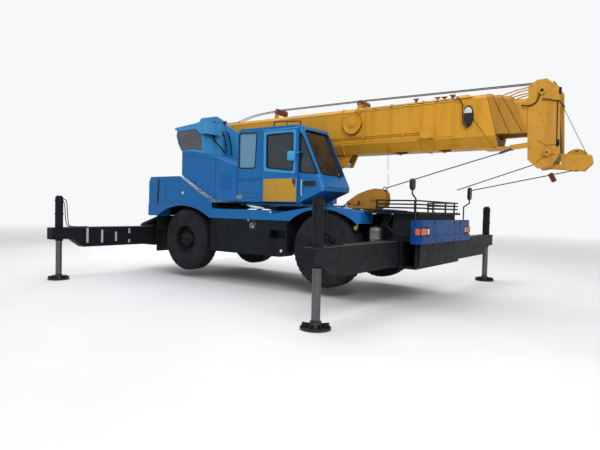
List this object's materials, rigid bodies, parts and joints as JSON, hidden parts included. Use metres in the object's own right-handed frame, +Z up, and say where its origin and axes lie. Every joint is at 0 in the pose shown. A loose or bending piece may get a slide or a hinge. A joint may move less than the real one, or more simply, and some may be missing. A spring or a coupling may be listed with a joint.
{
  "type": "rough terrain mobile crane",
  "caption": "Two-axle mobile crane on extended outriggers with side cab, level telescopic boom, lift cylinder, steered wheels and sliding outrigger beams with jacks.",
  "frame": {"origin": "bottom centre of the bounding box, on the ground under the floats", "axes": "+X towards the bumper and boom head, +Y to the machine's left, +Z up"},
  "size_m": [9.6169, 7.01, 3.736],
  "materials": {
    "black_paint": "satin",
    "blue_paint": "gloss",
    "engine_metal": "matte",
    "lamp_lens": "gloss",
    "dark_plastic": "matte",
    "orange_paint": "gloss",
    "tinted_glass": "gloss",
    "chrome_rod": "polished",
    "seat_cloth": "matte",
    "rim_paint": "satin",
    "tyre_rubber": "matte"
  },
  "bodies": {
    "carrier": {"chassis_frame": "black_paint", "front_outrigger_box": "black_paint", "rear_outrigger_box": "black_paint", "side_skirt_right": "black_paint", "side_skirt_left": "black_paint", "fender_right": "blue_paint", "fender_left": "blue_paint", "engine_hood": "blue_paint", "engine": "engine_metal", "front_deck": "black_paint", "front_bumper": "blue_paint", "front_lamp_right": "lamp_lens", "front_lamp_left": "lamp_lens", "rear_lamps": "lamp_lens", "front_axle": "black_paint", "rear_axle": "black_paint", "deck_mirror_right": "dark_plastic", "deck_mirror_left": "dark_plastic", "hook_block": "orange_paint"},
    "upperworks": {"swivel_frame": "blue_paint", "body_right": "blue_paint", "body_left": "blue_paint", "winch_house": "blue_paint", "cab_shell": "blue_paint", "operator_seat": "seat_cloth", "cab_console": "dark_plastic", "glass_rear_right": "tinted_glass", "glass_quarter": "tinted_glass", "glass_left": "tinted_glass", "glass_back": "tinted_glass", "windscreen": "tinted_glass"},
    "door": {"cab_door": "blue_paint", "door_glass": "tinted_glass"},
    "boom": {"boom_base": "orange_paint"},
    "boom_2": {"boom_section_2": "orange_paint"},
    "boom_3": {"boom_section_3": "orange_paint"},
    "boom_4": {"boom_section_4": "orange_paint"},
    "boom_5": {"boom_tip": "orange_paint"},
    "lift_cylinder": {"lift_barrel": "orange_paint"},
    "lift_piston": {"lift_rod": "chrome_rod"},
    "knuckle_front_right_body": {"knuckle_front_right": "black_paint"},
    "wheel_front_right": {"rim_front_right": "rim_paint", "tyre_front_right": "tyre_rubber"},
    "outrigger_front_right": {"beam_front_right": "black_paint"},
    "float_front_right": {"jack_front_right": "chrome_rod"},
    "knuckle_front_left_body": {"knuckle_front_left": "black_paint"},
    "wheel_front_left": {"rim_front_left": "rim_paint", "tyre_front_left": "tyre_rubber"},
    "outrigger_front_left": {"beam_front_left": "black_paint"},
    "float_front_left": {"jack_front_left": "chrome_rod"},
    "knuckle_rear_right_body": {"knuckle_rear_right": "black_paint"},
    "wheel_rear_right": {"rim_rear_right": "rim_paint", "tyre_rear_right": "tyre_rubber"},
    "outrigger_rear_right": {"beam_rear_right": "black_paint"},
    "float_rear_right": {"jack_rear_right": "chrome_rod"},
    "knuckle_rear_left_body": {"knuckle_rear_left": "black_paint"},
    "wheel_rear_left": {"rim_rear_left": "rim_paint", "tyre_rear_left": "tyre_rubber"},
    "outrigger_rear_left": {"beam_rear_left": "black_paint"},
    "float_rear_left": {"jack_rear_left": "chrome_rod"}
  },
  "joints": [
    {"name": "slew", "type": "hinge", "parent": "carrier", "child": "upperworks", "pos_m": [-0.5835, 0, 1.6], "axis": [0, 0, 1], "continuous": true},
    {"name": "cab_door_slide", "type": "slide", "parent": "upperworks", "child": "door", "axis": [-1, 0, 0], "range_m": [0, 0.62]},
    {"name": "boom_lift", "type": "hinge", "parent": "upperworks", "child": "boom", "pos_m": [-2.9735, 0, 3.3], "axis": [0, -1, 0], "range_deg": [0, 80]},
    {"name": "telescope_2", "type": "slide", "parent": "boom", "child": "boom_2", "axis": [1, 0, 0], "range_m": [0, 5.2]},
    {"name": "telescope_3", "type": "slide", "parent": "boom_2", "child": "boom_3", "axis": [1, 0, 0], "range_m": [0, 5.2]},
    {"name": "telescope_4", "type": "slide", "parent": "boom_3", "child": "boom_4", "axis": [1, 0, 0], "range_m": [0, 5.2]},
    {"name": "telescope_5", "type": "slide", "parent": "boom_4", "child": "boom_5", "axis": [1, 0, 0], "range_m": [0, 5.2]},
    {"name": "lift_cylinder_pivot", "type": "hinge", "parent": "upperworks", "child": "lift_cylinder", "pos_m": [-2.0335, 0, 1.9], "axis": [0, -1, 0], "range_deg": [0, 75]},
    {"name": "lift_rod_slide", "type": "slide", "parent": "lift_cylinder", "child": "lift_piston", "axis": [0.973, 0, 0.2308], "range_m": [0, 2.2]},
    {"name": "steer_front_right", "type": "hinge", "parent": "carrier", "child": "knuckle_front_right_body", "pos_m": [0.8165, -0.9, 0.841], "axis": [0, 0, 1], "range_deg": [-25, 25]},
    {"name": "roll_front_right", "type": "hinge", "parent": "knuckle_front_right_body", "child": "wheel_front_right", "pos_m": [0.8165, -1.0675, 0.841], "axis": [0, 1, 0], "continuous": true},
    {"name": "outrigger_slide_front_right", "type": "slide", "parent": "carrier", "child": "outrigger_front_right", "axis": [0, 1, 0], "range_m": [0, 2.15]},
    {"name": "jack_slide_front_right", "type": "slide", "parent": "outrigger_front_right", "child": "float_front_right", "axis": [0, 0, 1], "range_m": [0, 0.58]},
    {"name": "steer_front_left", "type": "hinge", "parent": "carrier", "child": "knuckle_front_left_body", "pos_m": [0.8165, 0.9, 0.841], "axis": [0, 0, 1], "range_deg": [-25, 25]},
    {"name": "roll_front_left", "type": "hinge", "parent": "knuckle_front_left_body", "child": "wheel_front_left", "pos_m": [0.8165, 1.0675, 0.841], "axis": [0, 1, 0], "continuous": true},
    {"name": "outrigger_slide_front_left", "type": "slide", "parent": "carrier", "child": "outrigger_front_left", "axis": [0, -1, 0], "range_m": [0, 2.15]},
    {"name": "jack_slide_front_left", "type": "slide", "parent": "outrigger_front_left", "child": "float_front_left", "axis": [0, 0, 1], "range_m": [0, 0.58]},
    {"name": "steer_rear_right", "type": "hinge", "parent": "carrier", "child": "knuckle_rear_right_body", "pos_m": [-2.8335, -0.9, 0.841], "axis": [0, 0, 1], "range_deg": [-25, 25]},
    {"name": "roll_rear_right", "type": "hinge", "parent": "knuckle_rear_right_body", "child": "wheel_rear_right", "pos_m": [-2.8335, -1.0675, 0.841], "axis": [0, 1, 0], "continuous": true},
    {"name": "outrigger_slide_rear_right", "type": "slide", "parent": "carrier", "child": "outrigger_rear_right", "axis": [0, 1, 0], "range_m": [0, 2.15]},
    {"name": "jack_slide_rear_right", "type": "slide", "parent": "outrigger_rear_right", "child": "float_rear_right", "axis": [0, 0, 1], "range_m": [0, 0.58]},
    {"name": "steer_rear_left", "type": "hinge", "parent": "carrier", "child": "knuckle_rear_left_body", "pos_m": [-2.8335, 0.9, 0.841], "axis": [0, 0, 1], "range_deg": [-25, 25]},
    {"name": "roll_rear_left", "type": "hinge", "parent": "knuckle_rear_left_body", "child": "wheel_rear_left", "pos_m": [-2.8335, 1.0675, 0.841], "axis": [0, 1, 0], "continuous": true},
    {"name": "outrigger_slide_rear_left", "type": "slide", "parent": "carrier", "child": "outrigger_rear_left", "axis": [0, -1, 0], "range_m": [0, 2.15]},
    {"name": "jack_slide_rear_left", "type": "slide", "parent": "outrigger_rear_left", "child": "float_rear_left", "axis": [0, 0, 1], "range_m": [0, 0.58]}
  ],
  "couplings": [
    {"joint": "telescope_3", "follows": "telescope_2", "ratio": 1},
    {"joint": "telescope_4", "follows": "telescope_2", "ratio": 1},
    {"joint": "telescope_5", "follows": "telescope_2", "ratio": 1},
    {"joint": "lift_cylinder_pivot", "follows": "boom_lift", "ratio": 0.8895},
    {"joint": "lift_rod_slide", "follows": "boom_lift", "m_per_rad": 1.5039},
    {"joint": "steer_front_left", "follows": "steer_front_right", "ratio": 1},
    {"joint": "steer_rear_left", "follows": "steer_rear_right", "ratio": 1}
  ]
}
